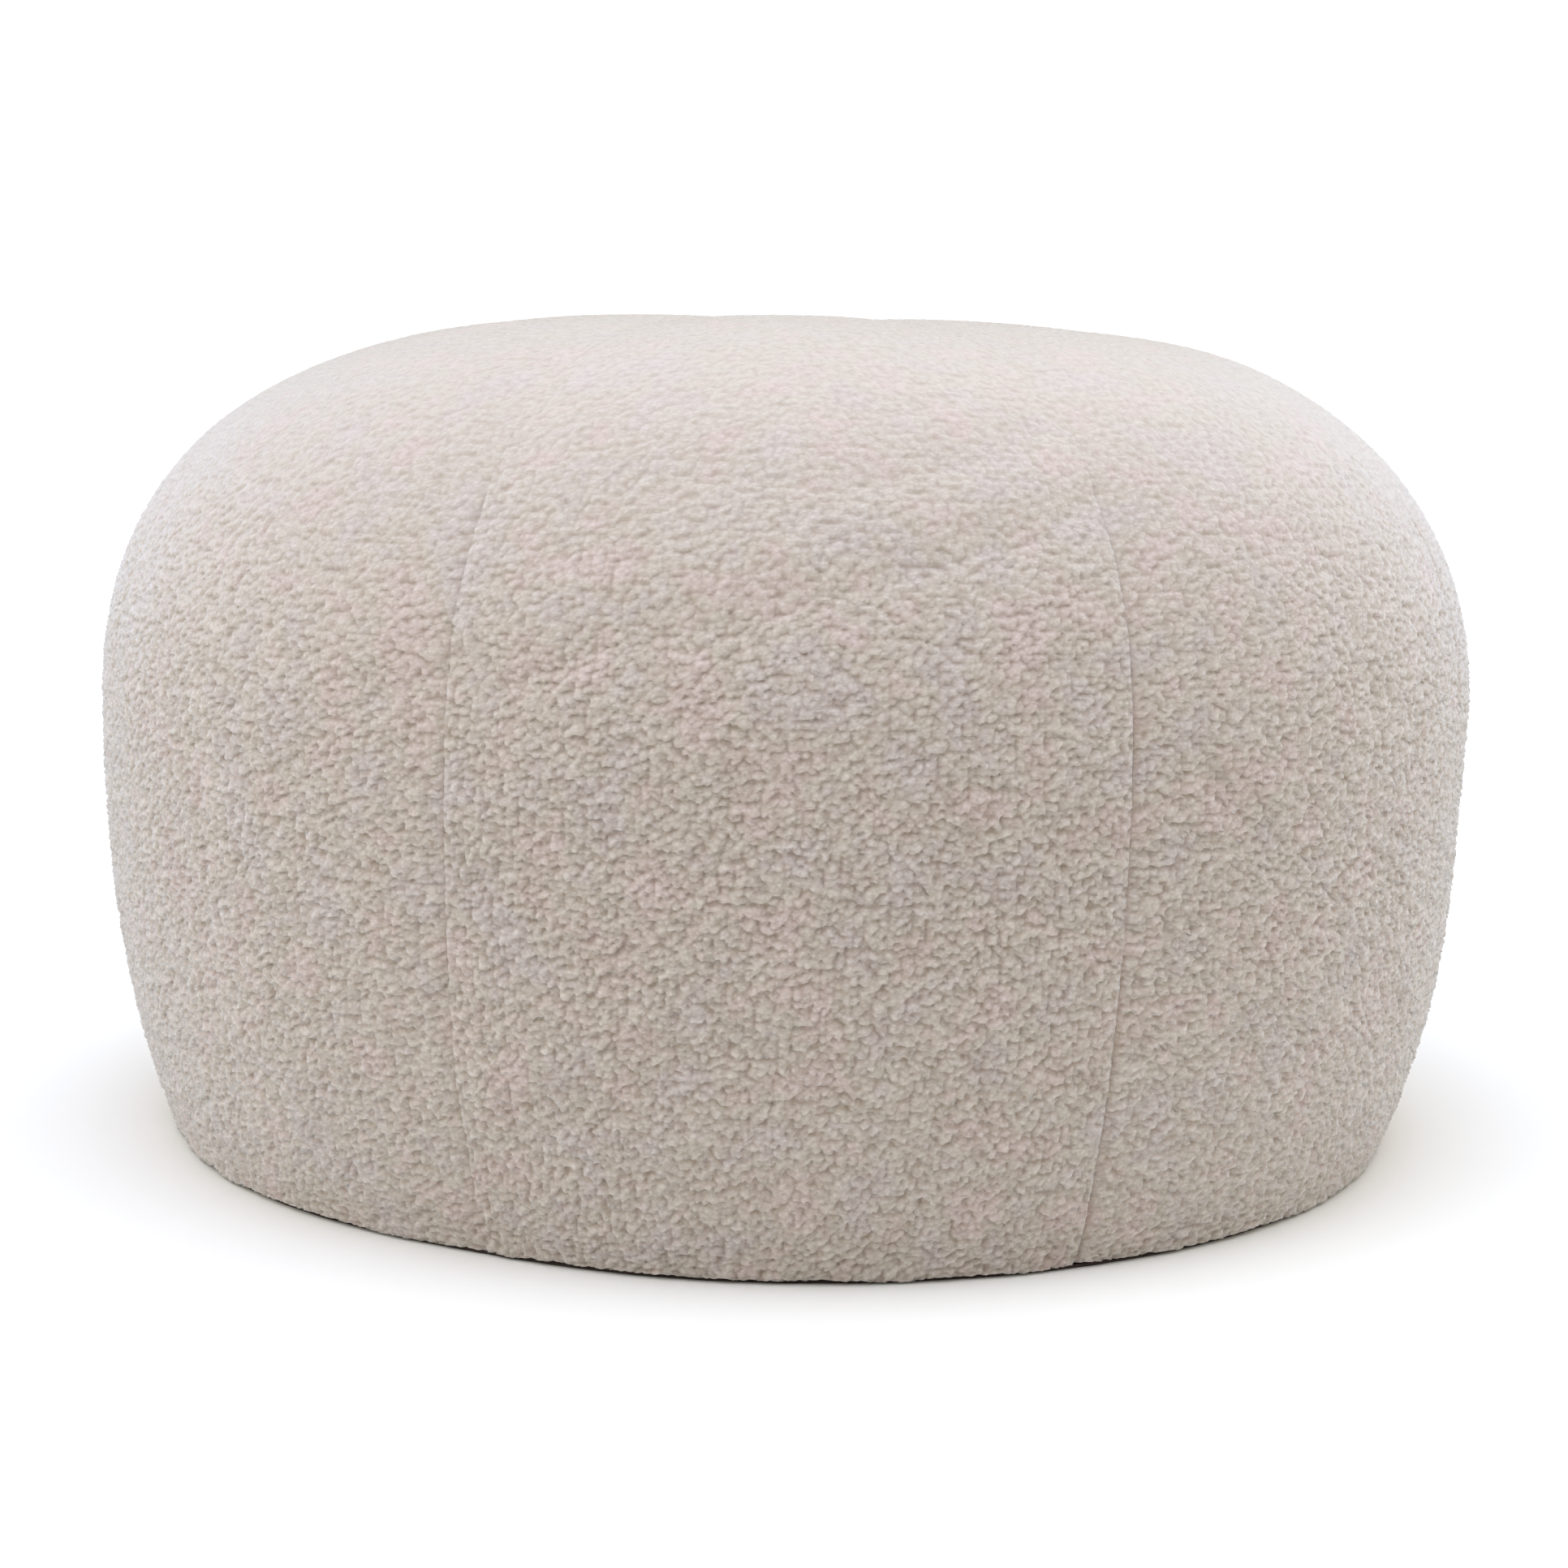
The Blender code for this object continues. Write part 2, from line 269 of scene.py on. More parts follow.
def side_profile():
    """Side view of the cover from the foot to the crown, as radius, height and rise.

    Below the belly: radius = foot + (R - foot) cos(t)^(2/a), height = belly (1 - sin(t)^(2/b)).
    Above it: radius = R cos(t)^(2/c), height = belly + (H - belly) sin(t)^(2/d), with t from
    0 at the belly to a quarter turn. The cover's edge is turned in just above the base panel.
    """
    turn = np.linspace(0.0, np.pi / 2.0, PROFILE_SAMPLES)
    cosine = np.clip(np.cos(turn), 0.0, 1.0)
    low_radius = FOOT_RADIUS + (RADIUS - FOOT_RADIUS) * cosine ** (2.0 / FOOT_SLOPE)
    low_height = BELLY_HEIGHT * (1.0 - np.sin(turn) ** (2.0 / SIDE_SQUARENESS))
    high_radius = RADIUS * cosine ** (2.0 / SHOULDER_SQUARENESS)
    high_height = BELLY_HEIGHT + (HEIGHT - BELLY_HEIGHT) * np.sin(turn) ** (2.0 / CROWN_SQUARENESS)
    radius = np.concatenate([low_radius[::-1], high_radius[1:]])
    height = np.concatenate([low_height[::-1], high_height[1:]])
    above = height > SEAT + TURN_IN_RISE
    foot_edge = np.interp(SEAT + TURN_IN_RISE, height, radius)
    radius = np.concatenate([[foot_edge - TURN_IN, foot_edge], radius[above]])
    height = np.concatenate([[SEAT, SEAT + TURN_IN_RISE], height[above]])
    rise = np.concatenate([[0.0], np.cumsum(np.hypot(np.diff(radius), np.diff(height)))])
    return radius, height, rise


def seam_azimuths():
    """Azimuths of the seams, starting at the right edge of the front panel, and once round."""
    others = len(PANELS) - 1
    other_deg = (360.0 - FRONT_PANEL_DEG) / others
    first = FRONT_PANEL_MIDDLE_DEG + FRONT_PANEL_DEG / 2.0
    return np.append(first + other_deg * np.arange(others + 1), first + 360.0)


def table_noise(seed):
    """A function that gives each cell of space a row of even random numbers from 0 to 1."""
    table = np.random.default_rng(seed).random((RANDOM_ROWS, RANDOM_COLUMNS))

    def pick(cell):
        scaled = cell * np.array(CELL_PRIMES)
        mixed = scaled[..., 0] ^ scaled[..., 1] ^ scaled[..., 2]
        mixed = mixed ^ (mixed >> CELL_SHIFT)
        return table[mixed % RANDOM_ROWS]

    return pick


def soft_noise(points, size, pick):
    """Three soft random values from -1 to 1 at each point, varying over the given size.

    The value is the cell corners' random numbers, blended with the smooth step of the place
    in the cell along each axis.
    """
    scaled = points / size
    cell = np.floor(scaled).astype(np.int64)
    part = scaled - cell
    part = part * part * (3.0 - 2.0 * part)
    total = np.zeros(points.shape)
    for corner in np.ndindex(2, 2, 2):
        weight = np.prod(np.where(corner, part, 1.0 - part), axis=-1, keepdims=True)
        total += weight * pick(cell + corner)[..., :3]
    return total * 2.0 - 1.0


def curl_height(across, rise, sheet, pick):
    """Height of the curls at each place of a sheet of cloth, from about 0 to 1 at their tips.

    The cloth is cut into cells, and each cell holds one curl, moved by chance. A curl with
    half length a and half height b gives h - q / (1 + c q), with q = (x/a)^2 + (y/b)^2, at
    distance x along it and y across it. It leans to either side, and the highest curl counts.
    """
    column = np.floor(across / CURL_PITCH).astype(np.int64)
    row = np.floor(rise / CURL_RISE).astype(np.int64)
    height = np.full(rise.shape, -1.0)
    for aside, up in np.ndindex(2 * CURL_REACH + 1, 2 * CURL_REACH + 1):
        near_column = column + aside - CURL_REACH
        near_row = row + up - CURL_REACH
        chance = pick(np.stack([near_column, near_row, np.full_like(row, sheet)], axis=-1))
        x = across - (near_column + mix(0.5, chance[:, 0], CURL_JITTER)) * CURL_PITCH
        y = rise - (near_row + mix(0.5, chance[:, 1], CURL_JITTER)) * CURL_RISE
        lean = (chance[:, 2] * 2.0 - 1.0) * CURL_LEAN
        lying = x * np.cos(lean) + y * np.sin(lean)
        rising = y * np.cos(lean) - x * np.sin(lean)
        length = mix(*CURL_HALF_LENGTH, chance[:, 3])
        width = mix(*CURL_HALF_HEIGHT, chance[:, 4])
        tip = mix(CURL_TIP, 1.0, chance[:, 5])
        fall = (lying / length) ** 2 + (rising / width) ** 2
        height = np.maximum(height, tip - fall / (1.0 + CURL_SKIRT * fall))
    return height


def panel_curls(across, half_width, rise, panel, pick):
    """Height of a panel's curls. They are counted from its left seam, and from its right one.

    The pile so runs on over each seam. In the panel's middle the higher of the two counts,
    and to either side of it the farther seam's curls sink away.
    """
    left = curl_height(across + half_width, rise, panel, pick)
    right = curl_height(across - half_width, rise, (panel + 1) % len(PANELS), pick)
    left = left - np.clip(across, 0.0, None) / CURL_HANDOVER
    right = right - np.clip(-across, 0.0, None) / CURL_HANDOVER
    return np.maximum(left, right)


def curl_rise(rise):
    """The rise that the rows of curls are counted by: they lie longer towards the crown.

    A row that is one step high at the belly is 1 / (1 - s) steps high on the crown, and the
    change runs evenly between two rises.
    """
    start, end = CURL_STRETCH_RISE
    over = np.clip(rise - start, 0.0, None)
    within = np.minimum(over, end - start)
    return rise - CURL_STRETCH * (within ** 2 / (2.0 * (end - start)) + over - within)


def fold_relief(azimuth, rise, waver, half_width, trough, ridge, route):
    """Height of one soft fold over the even surface, with the narrow parting of its pile.

    With d the distance above the route and w the half width, it is
    ridge exp(-((d - 1.7 w) / w)^2) - trough exp(-(d / w)^2), less a share of the trough in a
    line that wavers beside the route, all faded beyond the route's ends and made shallower.
    """
    points = np.array([(np.radians(a) * RADIUS, r * MM) for a, r in route])
    middle = np.mean([a for a, r in route])
    x = np.radians(angle_between(azimuth, middle) + middle) * RADIUS
    nearest = np.full(x.shape, 1.0e9)
    above = np.zeros(x.shape)
    beyond = np.zeros(x.shape)
    for start, end in zip(points[:-1], points[1:]):
        along = end - start
        length = np.hypot(*along)
        along = along / length
        step = (x - start[0]) * along[0] + (rise - start[1]) * along[1]
        side = (rise - start[1]) * along[0] - (x - start[0]) * along[1]
        over = np.maximum(np.maximum(-step, step - length), 0.0)
        distance = np.hypot(over, side)
        closer = distance < nearest
        nearest = np.where(closer, distance, nearest)
        above = np.where(closer, side, above)
        beyond = np.where(closer, over, beyond)
    width = half_width * MM
    dip = trough * np.exp(-(above / width) ** 2)
    swell = ridge * np.exp(-((above - RIDGE_OFFSET * width) / width) ** 2)
    parting = trough * PARTING_SHARE * np.exp(-((above - waver) / PARTING_WIDTH) ** 2)
    return FOLD_SHARE * (swell - dip - parting) * MM * np.exp(-(beyond / width) ** 2)


def cover_relief(azimuth, rise, half_width, radius, seam_distance, seam_shows, full_rise, waver):
    """How far the cloth stands out from the even shape, along its outward direction.

    Each panel puffs by P (s - u^n) at place u, which is 0 in its middle and 1 at its seams,
    with the valley between two panels rounded. Each seam lies in a channel and a narrow dip,
    both D exp(-(d / w)^2) deep at distance d from it. The puff fades towards the crown's middle,
    which is drawn in, and swells and folds are added over all.
    """
    off_crown = smooth_step(0.0, CROWN_FADE_RADIUS, radius)
    off_foot = smooth_step(0.0, PUFF_FADE_RISE, rise)
    rounded = np.hypot(seam_distance, VALLEY_ROUNDING)
    place = np.clip(1.0 - rounded / np.maximum(half_width, VALLEY_ROUNDING), 0.0, 1.0)
    puff = PANEL_PUFF * (PANEL_PUFF_SHARE - place ** PANEL_PUFF_POWER)
    relief = puff * off_crown * mix(PUFF_LEFT_AT_FOOT, 1.0, off_foot)

    seam = CHANNEL_DEPTH * np.exp(-(seam_distance / CHANNEL_HALF_WIDTH) ** 2)
    seam = seam + SEAM_ROLL_DEPTH * np.exp(-(seam_distance / SEAM_ROLL_WIDTH) ** 2)
    relief = relief - seam * seam_shows

    crown_distance = (full_rise - rise) / CROWN_DIMPLE_RADIUS
    relief = relief - CROWN_DIMPLE_DEPTH * np.exp(-crown_distance ** 2)

    for at_azimuth, at_rise, spread_deg, spread_mm, swell in SWELLS:
        sideways = angle_between(azimuth, at_azimuth) / spread_deg
        upward = (rise / MM - at_rise) / spread_mm
        relief = relief + swell * MM * np.exp(-sideways ** 2 - upward ** 2)
    for fold in FOLDS:
        relief = relief + fold_relief(azimuth, rise, waver, *fold)
    return relief


def foot_draw(azimuth):
    """How far the foot is drawn in from its circle at each azimuth."""
    draw = np.zeros(np.shape(azimuth))
    for at_azimuth, spread_deg, inward in FOOT_DRAWS:
        draw = draw + inward * MM * np.exp(-(angle_between(azimuth, at_azimuth) / spread_deg) ** 2)
    return draw


def panel_cells(cells_across):
    """Rises of a panel's rows and the number of cells across each of them."""
    radius, _, rise = side_profile()
    rows = int(round(rise[-1] / ROW_STEP))
    stations = np.linspace(0.0, rise[-1], rows + 1)[:-1]
    share = np.interp(stations, rise, radius) / RADIUS
    halved = np.clip(np.floor(-np.log2(share)), 0, HALVINGS).astype(int)
    return stations, cells_across >> halved


def cover_points(azimuth, rise, half_angle, place, panel, pick):
    """Points of the cloth's surface, with the curls' height, their standing and the flat place.

    A point is the side profile turned about Z, moved outwards by the cover's relief and by
    the curls, whose tips also droop down the cloth. Standing is the share of the full pile
    depth, and the flat place is the distance across the panel and the rise.
    """
    profile_radius, profile_height, profile_rise = side_profile()
    full_rise = profile_rise[-1]
    radius = np.interp(rise, profile_rise, profile_radius)
    height = np.interp(rise, profile_rise, profile_height)
    ahead = np.clip(rise + SLOPE_REACH, 0.0, full_rise)
    behind = np.clip(rise - SLOPE_REACH, profile_rise[1], full_rise)
    out = np.interp(ahead, profile_rise, profile_height)
    out = out - np.interp(behind, profile_rise, profile_height)
    up = np.interp(behind, profile_rise, profile_radius)
    up = up - np.interp(ahead, profile_rise, profile_radius)
    size = np.hypot(out, up)
    out, up = out / size, up / size

    angle = np.radians(azimuth)
    half_width = np.radians(half_angle) * radius
    across = place * half_width
    even = np.stack([radius * np.sin(angle), -radius * np.cos(angle), height], axis=-1)
    bend = soft_noise(even, CURL_BEND_SIZE, pick) * CURL_BEND
    bent_rise = curl_rise(rise) + bend[:, 2]
    curls = panel_curls(across + bend[:, 1], half_width, bent_rise, panel, pick)
    clump = soft_noise(even, CLUMP_SIZE, pick)

    seam_distance = (1.0 - np.abs(place)) * half_width
    seam_shows = np.array(SEAM_SHOWS)[(panel + (place > 0.0)) % len(SEAM_SHOWS)]
    uneven = SEAM_EVEN_SHARE + SEAM_UNEVEN_SHARE * clump[:, 1]
    seam_shows = seam_shows * np.clip(uneven, 0.0, 1.0)
    seam_shows = seam_shows * mix(1.0, SEAM_LEFT_ABOVE, smooth_step(*SEAM_TOP_RISE, rise))
    relief = cover_relief(
        azimuth, rise, half_width, radius, seam_distance, seam_shows, full_rise, bend[:, 0])
    standing = mix(1.0, CROWN_PILE_LEFT, smooth_step(*CROWN_PILE_RISE, rise))
    depth = CURL_DEPTH * standing
    pile = (curls - 1.0) * depth + CURL_STAND + clump[:, 0] * CLUMP_HEIGHT * standing
    off_seam = mix(1.0, smooth_step(0.0, SEAM_ROLL_WIDTH, seam_distance), seam_shows)
    relief = relief + mix(CURL_STAND - SEAM_PILE_SUNK * depth, pile, off_seam)
    # The curls' height, which also sets the pile's painted shade, falls to 0 in a seam that shows,
    # so a painted shade line runs along it
    curls = curls * off_seam

    level = smooth_step(profile_rise[1], FOOT_LEVEL_RISE, rise)
    droop = curls * depth * CURL_DROOP * level
    drawn = foot_draw(azimuth) * (1.0 - smooth_step(0.0, DRAW_FADE_RISE, rise))
    ring_radius = radius + relief * out - drawn + droop * up
    edge = np.exp(-((rise - FOOT_HANG_AT_RISE) / FOOT_HANG_SPREAD) ** 2) * (rise > 0.0)
    hang = FOOT_HANG * edge * np.clip(FOOT_HANG_EVEN_SHARE + clump[:, 2], 0.0, 1.0)
    ring_height = height + relief * up * level - droop * out - hang
    right, front = ring_radius * np.sin(angle), -ring_radius * np.cos(angle)
    points = np.stack([right, front, ring_height], axis=-1)
    return points, curls, standing, np.stack([across, rise], axis=-1)


def panel_surface(panel, cells_across, start_deg, end_deg, pick):
    """Arrays of one panel's pile side, from its foot row to the crown's tip, and its rim.

    They are its points, curl heights, standing shares, places on the flat cloth, quads and
    triangles. A row has even cells across the panel, and a row of fewer cells joins the one
    below it by three triangles a cell. The rims draw back from the seam by half its slit.
    """
    stations, cells = panel_cells(cells_across)
    half = (end_deg - start_deg) / 2.0
    firsts = np.concatenate([[0], np.cumsum(cells + 1)])
    place = np.concatenate([np.linspace(-1.0, 1.0, count + 1) for count in cells])
    rise = np.repeat(stations, cells + 1)
    azimuth = start_deg + half * (place + 1.0)
    points, curls, standing, cloth = cover_points(azimuth, rise, half, place, panel, pick)

    gap = SEAM_GAP / 2.0 * np.clip((np.abs(place) - 0.5) * 2.0, 0.0, 1.0) * np.sign(place)
    gap = gap * (1.0 - smooth_step(*SEAM_TOP_RISE, rise))
    angle = np.radians(azimuth)
    points[:, 0] -= gap * np.cos(angle)
    points[:, 1] -= gap * np.sin(angle)

    quads, triangles = [], []
    for row in range(len(stations) - 1):
        across = np.arange(cells[row + 1])
        low, high = firsts[row] + across, firsts[row + 1] + across
        if cells[row] == cells[row + 1]:
            quads.append(np.stack([low, low + 1, high + 1, high], -1))
        else:
            fine = low + across
            triangles.append(np.stack([fine, fine + 1, high], -1))
            triangles.append(np.stack([fine + 1, high + 1, high], -1))
            triangles.append(np.stack([fine + 1, fine + 2, high + 1], -1))
    tip = len(points)
    last = firsts[-2] + np.arange(cells[-1])
    triangles.append(np.stack([last, last + 1, np.full(last.size, tip)], -1))
    foot = np.arange(cells[0] + 1)
    rim = np.concatenate([foot, firsts[2:] - 1, [tip], firsts[-2:0:-1], [0]])
    return points, curls, standing, cloth, quads, triangles, rim


def make_mesh(name, points, quads, triangles, flat_from, rim):
    """A mesh from arrays of points and faces, shaded smooth up to triangle flat_from.

    The edges along the rim, a closed row of points, are sharp.
    """
    quads = np.concatenate(quads)
    triangles = np.concatenate(triangles)
    corners = np.concatenate([quads.ravel(), triangles.ravel()])
    sizes = np.concatenate([np.full(len(quads), 4), np.full(len(triangles), 3)])
    mesh = bpy.data.meshes.new(name)
    mesh.vertices.add(len(points))
    mesh.vertices.foreach_set("co", points.astype(np.float32).ravel())
    mesh.loops.add(len(corners))
    mesh.loops.foreach_set("vertex_index", corners.astype(np.int32))
    mesh.polygons.add(len(sizes))
    mesh.polygons.foreach_set("loop_start", (np.cumsum(sizes) - sizes).astype(np.int32))
    smooth = np.arange(len(sizes)) < len(quads) + flat_from
    mesh.update(calc_edges=True)
    mesh.validate()
    mesh.polygons.foreach_set("use_smooth", smooth)

    ends = np.empty(len(mesh.edges) * 2, dtype=np.int32)
    mesh.edges.foreach_get("vertices", ends)
    ends = np.sort(ends.reshape(-1, 2).astype(np.int64), axis=1)
    rim_ends = np.sort(np.stack([rim[:-1], rim[1:]], axis=-1), axis=1)
    sharp = np.isin(ends @ (len(points), 1), rim_ends @ (len(points), 1))
    mesh.edges.foreach_set("use_edge_sharp", sharp)
    mesh.update()
    return mesh


def make_panel(name, panel, cells_across, start_deg, end_deg, pick, material):
    """One sewn panel with its share of the filling, as a closed slice of the pouf.

    The pile surface is closed by flat walls from its rim to the middle of the underside.
    """
    points, curls, standing, cloth, quads, triangles, rim = panel_surface(
        panel, cells_across, start_deg, end_deg, pick)
    crown = points[-(cells_across >> HALVINGS) - 1:].mean(axis=0)
    points = np.concatenate([points, [[0.0, 0.0, crown[2]], [0.0, 0.0, SEAT]]])
    curls = np.concatenate([curls, [INNER_CURL, INNER_CURL]])
    standing = np.concatenate([standing, [1.0, 1.0]])
    cloth = np.concatenate([cloth, [cloth[-1], [0.0, 0.0]]])
    outer = sum(len(part) for part in triangles)
    middle = np.full(len(rim) - 1, len(points) - 1)
    triangles.append(np.stack([rim[1:], rim[:-1], middle], -1))
    mesh = make_mesh(name, points, quads, triangles, outer, rim)
    # The curl height sets the pile's painted shade and painted highlight, and standing eases them
    # where the pile lies flat
    for label, values in (("curl", curls), ("standing", standing)):
        attribute = mesh.attributes.new(label, "FLOAT", "POINT")
        attribute.data.foreach_set("value", values.astype(np.float32))
    corners = np.empty(len(mesh.loops), dtype=np.int32)
    mesh.loops.foreach_get("vertex_index", corners)
    flat_cloth = mesh.uv_layers.new(name="cloth")
    flat_cloth.uv.foreach_set("vector", cloth[corners].astype(np.float32).ravel())
    mesh.materials.append(material)
    piece = bpy.data.objects.new(name, mesh)
    bpy.context.scene.collection.objects.link(piece)
    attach(piece, "root")
    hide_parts("pouf_body")


def linear(hex_colour):
    """An sRGB hex colour as linear red, green, blue and 1."""
    parts = [int(hex_colour[i:i + 2], 16) / 255.0 for i in (1, 3, 5)]
    return [c / 12.92 if c <= 0.04045 else ((c + 0.055) / 1.055) ** 2.4 for c in parts] + [1.0]


def add_node(tree, kind, links=(), **settings):
    """Add a node, set its properties and inputs, and link sources to its inputs.

    The settings are the node's own properties, except inputs: pairs of (socket, value). The
    links are pairs of (socket, source socket).
    """
    node = tree.nodes.new(kind)
    values = settings.pop("inputs", ())
    for key, value in settings.items():
        setattr(node, key, value)
    for socket, value in values:
        node.inputs[socket].default_value = value
    for socket, source in links:
        tree.links.new(source, node.inputs[socket])
    return node


def new_material(name):
    """An empty material with its Principled shader, as material, tree and shader."""
    material = bpy.data.materials.new(name)
    material.use_nodes = True
    tree = material.node_tree
    return material, tree, tree.nodes["Principled BSDF"]


def curly_pile_cloth():
    """Knitted polyester curly pile, tumbled into small tufts: matt, with a pale soft edge.

    The gaps between the curls and tufts are painted darker and warmer as shade, and the tips
    lighter and cooler as a painted highlight. Where the pile lies flat towards the crown the
    painted contrast eases to an even, lighter tint, a painted light on the crown.
    The yarn runs in faintly warmer and greyer patches a few centimetres wide. The tuft pattern is
    a little finer than the modelled curls, and the fibre pattern has half its size, so it is far
    coarser than real fibre. Both are bump on the curls.
    """
    material, tree, shader = new_material("curly pile cloth")
    place = add_node(tree, "ShaderNodeTexCoord").outputs["Object"]
    squash = add_node(tree, "ShaderNodeMapping", [("Vector", place)],
                      inputs=[("Scale", (1.0, 1.0, TUFT_SQUASH))]).outputs["Vector"]
    swirl = add_node(tree, "ShaderNodeTexNoise", [("Vector", squash)],
                     inputs=[("Scale", 1.0 / SWIRL_SIZE), ("Detail", 1.0)]).outputs["Color"]
    swirl = add_node(tree, "ShaderNodeVectorMath", [(0, swirl)], operation="SUBTRACT",
                     inputs=[(1, (0.5, 0.5, 0.5))]).outputs["Vector"]
    swirl = add_node(tree, "ShaderNodeVectorMath", [(0, swirl)], operation="SCALE",
                     inputs=[("Scale", SWIRL_MOVE)]).outputs["Vector"]
    bent = add_node(tree, "ShaderNodeVectorMath", [(0, squash), (1, swirl)],
                    operation="ADD").outputs["Vector"]
    tuft = add_node(tree, "ShaderNodeTexVoronoi", [("Vector", bent)], feature="F1",
                    inputs=[("Scale", 1.0 / TUFT_SIZE)]).outputs["Distance"]
    fibre = add_node(tree, "ShaderNodeTexNoise", [("Vector", bent)],
                     inputs=[("Scale", 1.0 / FIBRE_SIZE), ("Detail", 2.0),
                             ("Roughness", 0.6)]).outputs["Fac"]
    curl = add_node(tree, "ShaderNodeAttribute", attribute_name="curl").outputs["Fac"]
    standing = add_node(tree, "ShaderNodeAttribute", attribute_name="standing").outputs["Fac"]

    relief = add_node(tree, "ShaderNodeMath", [(0, tuft)], operation="MULTIPLY",
                      inputs=[(1, TUFT_BUMP)]).outputs["Value"]
    relief = add_node(tree, "ShaderNodeMath", [(0, fibre), (2, relief)], operation="MULTIPLY_ADD",
                      inputs=[(1, FIBRE_BUMP)]).outputs["Value"]
    softer = add_node(tree, "ShaderNodeMath", [(0, standing)], operation="SQRT").outputs["Value"]
    relief = add_node(tree, "ShaderNodeMath", [(0, relief), (1, softer)],
                      operation="MULTIPLY").outputs["Value"]
    bump = add_node(tree, "ShaderNodeBump", [("Height", relief)],
                    inputs=[("Strength", 1.0), ("Distance", PILE_BUMP_DEPTH)]).outputs["Normal"]

    # Painted shade: the gaps between the shader's tufts and between the modelled curls are
    # darkened
    gap = add_node(tree, "ShaderNodeMapRange", [("Value", tuft)],
                   inputs=[("From Min", 0.15), ("From Max", 0.85),
                           ("To Max", TUFT_GAP_PAINTED_SHADE)]).outputs[0]
    curl_gap_painted_shade = add_node(tree, "ShaderNodeMapRange", [("Value", curl)],
                    inputs=[("From Min", 0.95), ("From Max", 0.05),
                            ("To Max", CURL_GAP_PAINTED_SHADE)]).outputs[0]
    painted_shade = add_node(tree, "ShaderNodeMath", [(0, gap), (1, curl_gap_painted_shade)],
                     operation="ADD").outputs["Value"]
    # Where the pile lies flat towards the crown the painted shade eases to an even, lighter value:
    # painted light on the crown
    painted_shade = add_node(tree, "ShaderNodeMix", [("Factor", softer), (3, painted_shade)],
                     inputs=[(2, FLAT_PILE_PAINTED_SHADE)]).outputs[0]
    # Painted shade and highlight: a warm darker tint in the gaps, a lighter, cooler gain on the
    # tips
    painted_shade_and_highlight = add_node(tree, "ShaderNodeMix", [("Factor", painted_shade)], data_type="RGBA",
                          inputs=[(6, TIP_PAINTED_HIGHLIGHT), (7, linear(GAP_PAINTED_SHADE_TINT))]).outputs[2]

    patch = add_node(tree, "ShaderNodeTexNoise", [("Vector", place)],
                     inputs=[("Scale", 1.0 / PATCH_SIZE), ("Detail", 3.0),
                             ("Roughness", 0.6)]).outputs["Fac"]
    yarn = add_node(tree, "ShaderNodeValToRGB", [("Fac", patch)])
    tones = yarn.color_ramp.elements
    tones.new(YARN_TONES[1][0])
    for tone, (position, hex_colour) in zip(tones, YARN_TONES):
        tone.position = position
        tone.color = linear(hex_colour)
    colour = add_node(tree, "ShaderNodeMix", [(6, yarn.outputs["Color"]), (7, painted_shade_and_highlight)],
                      data_type="RGBA", blend_type="MULTIPLY",
                      inputs=[("Factor", 1.0)]).outputs[2]
    tree.links.new(colour, shader.inputs["Base Color"])
    tree.links.new(bump, shader.inputs["Normal"])
    shader.inputs["Roughness"].default_value = 0.95
    shader.inputs["Specular IOR Level"].default_value = 0.2
    shader.inputs["Sheen Weight"].default_value = 1.0
    shader.inputs["Sheen Roughness"].default_value = 0.5
    return material


def dark_base_cloth():
    """Spun-bonded polypropylene base cloth: near-black, matt, with a fine pressed dimple grid.

    The dimples are spaced as on such cloth, and the fibre is drawn far coarser than it is.
    """
    material, tree, shader = new_material("spun-bonded base cloth")
    place = add_node(tree, "ShaderNodeTexCoord").outputs["Object"]
    dimple = add_node(tree, "ShaderNodeTexVoronoi", [("Vector", place)],
                      inputs=[("Scale", 1.0 / DIMPLE_SIZE),
                              ("Randomness", 0.15)]).outputs["Distance"]
    fibre = add_node(tree, "ShaderNodeTexNoise", [("Vector", place)],
                     inputs=[("Scale", 1.0 / BASE_FIBRE_SIZE), ("Detail", 4.0)]).outputs["Fac"]
    tone = add_node(tree, "ShaderNodeValToRGB", [("Fac", fibre)])
    tone.color_ramp.elements[0].color = linear(BASE_TONES[0])
    tone.color_ramp.elements[1].color = linear(BASE_TONES[1])
    bump = add_node(tree, "ShaderNodeBump", [("Height", dimple)],
                    inputs=[("Strength", 0.6), ("Distance", DIMPLE_DEPTH)]).outputs["Normal"]
    tree.links.new(tone.outputs["Color"], shader.inputs["Base Color"])
    tree.links.new(bump, shader.inputs["Normal"])
    shader.inputs["Roughness"].default_value = 0.85
    return material


def make_cover(material):
    """All eight panels of the cover."""
    pick = table_noise(COVER_SEED)
    seams = seam_azimuths()
    for panel, (name, cells_across) in enumerate(PANELS):
        make_panel(name, panel, cells_across, seams[panel], seams[panel + 1], pick, material)


def finish_base(material):
    """Give the base panel its cloth."""
    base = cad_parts["base_panel"]
    for slot in base.material_slots:
        slot.material = material


def make_floor():
    """A plain pale floor that runs on past the picture."""
    signs = ((-1, -1), (1, -1), (1, 1), (-1, 1))
    corners = [(x * FLOOR_REACH, y * FLOOR_REACH, 0.0) for x, y in signs]
    mesh = bpy.data.meshes.new("floor")
    mesh.from_pydata(corners, [], [(0, 1, 2, 3)])
    material, _, shader = new_material("white floor paint")
    shader.inputs["Base Color"].default_value = linear(FLOOR_TONE)
    shader.inputs["Roughness"].default_value = 0.9
    mesh.materials.append(material)
    floor = bpy.data.objects.new("floor", mesh)
    bpy.context.scene.collection.objects.link(floor)


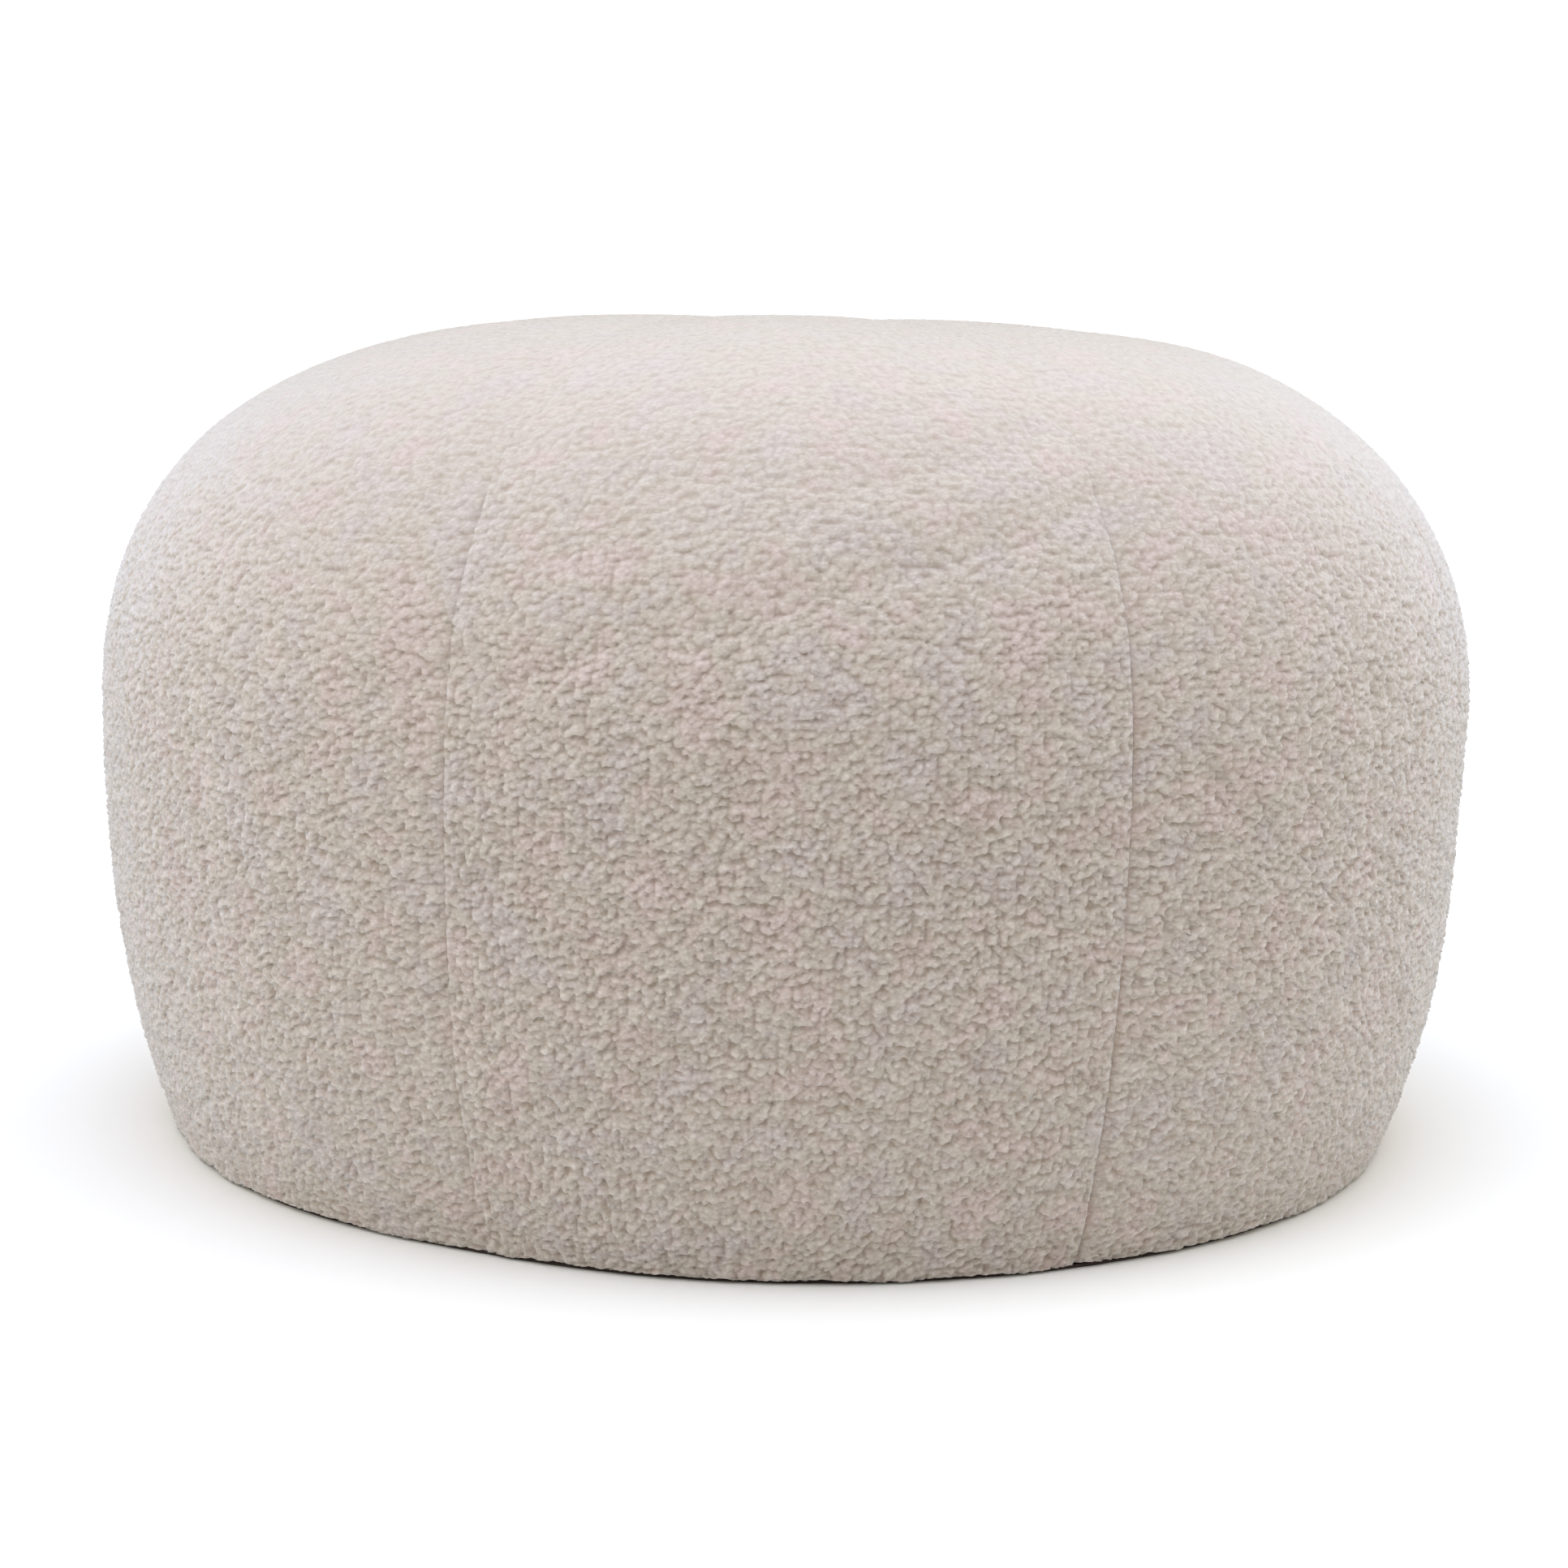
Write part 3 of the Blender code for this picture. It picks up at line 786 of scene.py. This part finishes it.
def make_camera():
    """The photograph's camera: in front, a little above, and rolled a little.

    Its right and up directions are the level ones turned by the roll about the view.
    """
    elevation = math.radians(CAMERA_ELEVATION_DEG)
    roll = math.radians(CAMERA_ROLL_DEG)
    target = Vector(LOOK_AT)
    forward = Vector((0.0, math.cos(elevation), -math.sin(elevation)))
    level_up = Vector((0.0, math.sin(elevation), math.cos(elevation)))
    level_right = Vector((1.0, 0.0, 0.0))
    right = level_right * math.cos(roll) + level_up * math.sin(roll)
    up = level_up * math.cos(roll) - level_right * math.sin(roll)
    camera = bpy.data.objects.new("camera", bpy.data.cameras.new("camera"))
    camera.data.sensor_width = SENSOR_MM
    camera.data.lens = FOCAL_PIXELS / IMAGE_PIXELS * SENSOR_MM
    turned = Matrix((right, up, -forward)).transposed().to_4x4()
    camera.matrix_world = Matrix.Translation(target - forward * CAMERA_DISTANCE) @ turned
    bpy.context.scene.collection.objects.link(camera)
    bpy.context.scene.camera = camera


def make_light():
    """A white studio, lit from above and from both sides: a sum of round patches of light.

    In direction d a patch that faces a adds power max(0, d.a)^tightness of its colour, above
    the horizon only. The camera itself sees plain white.
    """
    scene = bpy.context.scene
    scene.view_settings.view_transform = "Standard"
    scene.world = bpy.data.worlds.new("white studio")
    scene.world.use_nodes = True
    tree = scene.world.node_tree
    tree.nodes.clear()
    direction = add_node(tree, "ShaderNodeTexCoord").outputs["Generated"]
    height = add_node(tree, "ShaderNodeSeparateXYZ", [("Vector", direction)]).outputs["Z"]
    total = add_node(tree, "ShaderNodeCombineXYZ").outputs["Vector"]
    for azimuth_deg, elevation_deg, tightness, power, colour in LIGHT_PATCHES:
        azimuth, elevation = math.radians(azimuth_deg), math.radians(elevation_deg)
        facing = (
            math.sin(azimuth) * math.cos(elevation),
            -math.cos(azimuth) * math.cos(elevation),
            math.sin(elevation),
        )
        part = add_node(tree, "ShaderNodeVectorMath", [(0, direction)], operation="DOT_PRODUCT",
                        inputs=[(1, facing)]).outputs["Value"]
        part = add_node(tree, "ShaderNodeMath", [(0, part)], operation="MAXIMUM",
                        inputs=[(1, 0.0)]).outputs["Value"]
        part = add_node(tree, "ShaderNodeMath", [(0, part)], operation="POWER",
                        inputs=[(1, tightness)]).outputs["Value"]
        glow = [power * channel for channel in linear(colour)[:3]]
        total = add_node(tree, "ShaderNodeVectorMath", [(0, part), (2, total)],
                         operation="MULTIPLY_ADD", inputs=[(1, glow)]).outputs["Vector"]
    above = add_node(tree, "ShaderNodeMath", [(0, height)], operation="GREATER_THAN",
                     inputs=[(1, 0.0)]).outputs["Value"]
    total = add_node(tree, "ShaderNodeVectorMath", [(0, total), (1, above)],
                     operation="MULTIPLY").outputs["Vector"]
    path = add_node(tree, "ShaderNodeLightPath").outputs["Is Camera Ray"]
    seen = add_node(tree, "ShaderNodeMix", [("Factor", path), (4, total)], data_type="VECTOR",
                    inputs=[(5, BACKDROP)]).outputs[1]
    studio = add_node(tree, "ShaderNodeBackground", [("Color", seen)])
    add_node(tree, "ShaderNodeOutputWorld", [("Surface", studio.outputs[0])])


make_camera()
make_floor()
make_light()
make_cover(curly_pile_cloth())
finish_base(dark_base_cloth())
